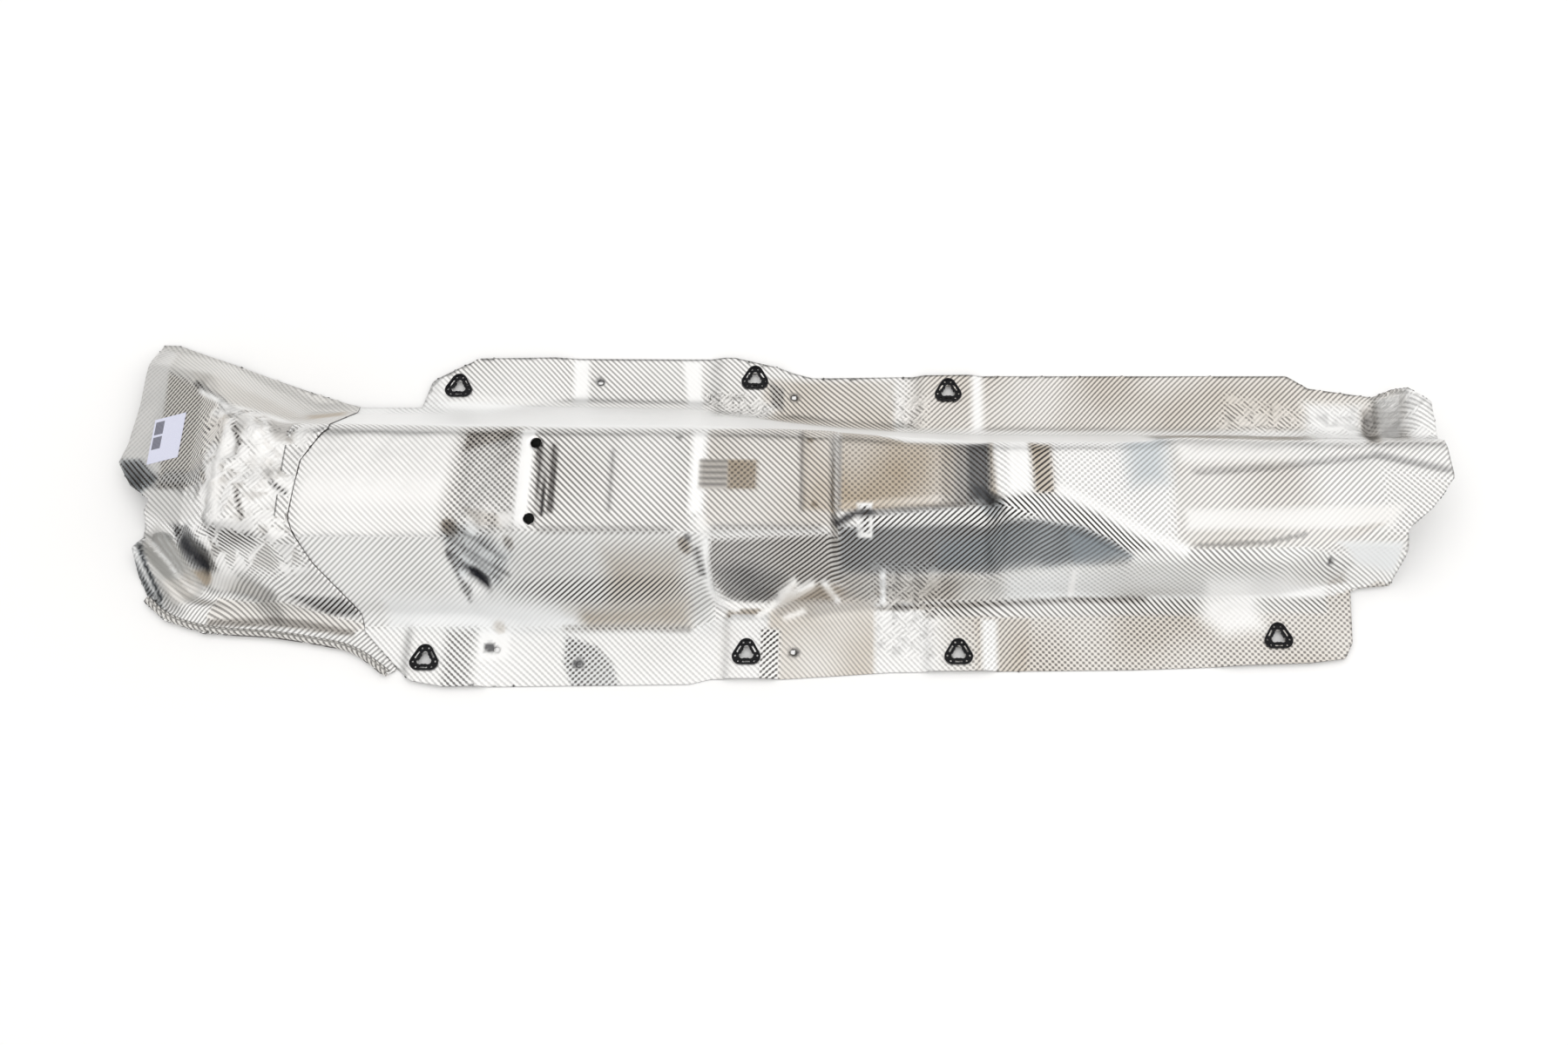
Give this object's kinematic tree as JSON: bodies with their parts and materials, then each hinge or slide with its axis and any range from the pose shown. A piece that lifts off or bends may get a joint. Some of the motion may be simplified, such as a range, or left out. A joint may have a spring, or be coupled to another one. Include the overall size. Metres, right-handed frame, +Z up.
{
  "type": "exhaust heat shield",
  "caption": "Long pressed aluminium tunnel shield for a car exhaust, with a stepped hump, flanges, a flared bell mouth, a rolled hem and plastic retaining clips.",
  "frame": {"origin": "middle of the shield's length and width, on the plane that its flanges lie on", "axes": "+X along the shield from the bell mouth to the tail, +Y across it, +Z up out of the hump"},
  "size_m": [1.563, 0.437, 0.1302],
  "materials": {
    "shield_sheet": "bright, embossed",
    "clip_plastic": "gloss black",
    "label_paper": "coated label"
  },
  "bodies": {
    "root": {"main_panel": "shield_sheet", "front_panel": "shield_sheet", "retaining_clips": "clip_plastic", "label": "label_paper"}
  },
  "joints": []
}
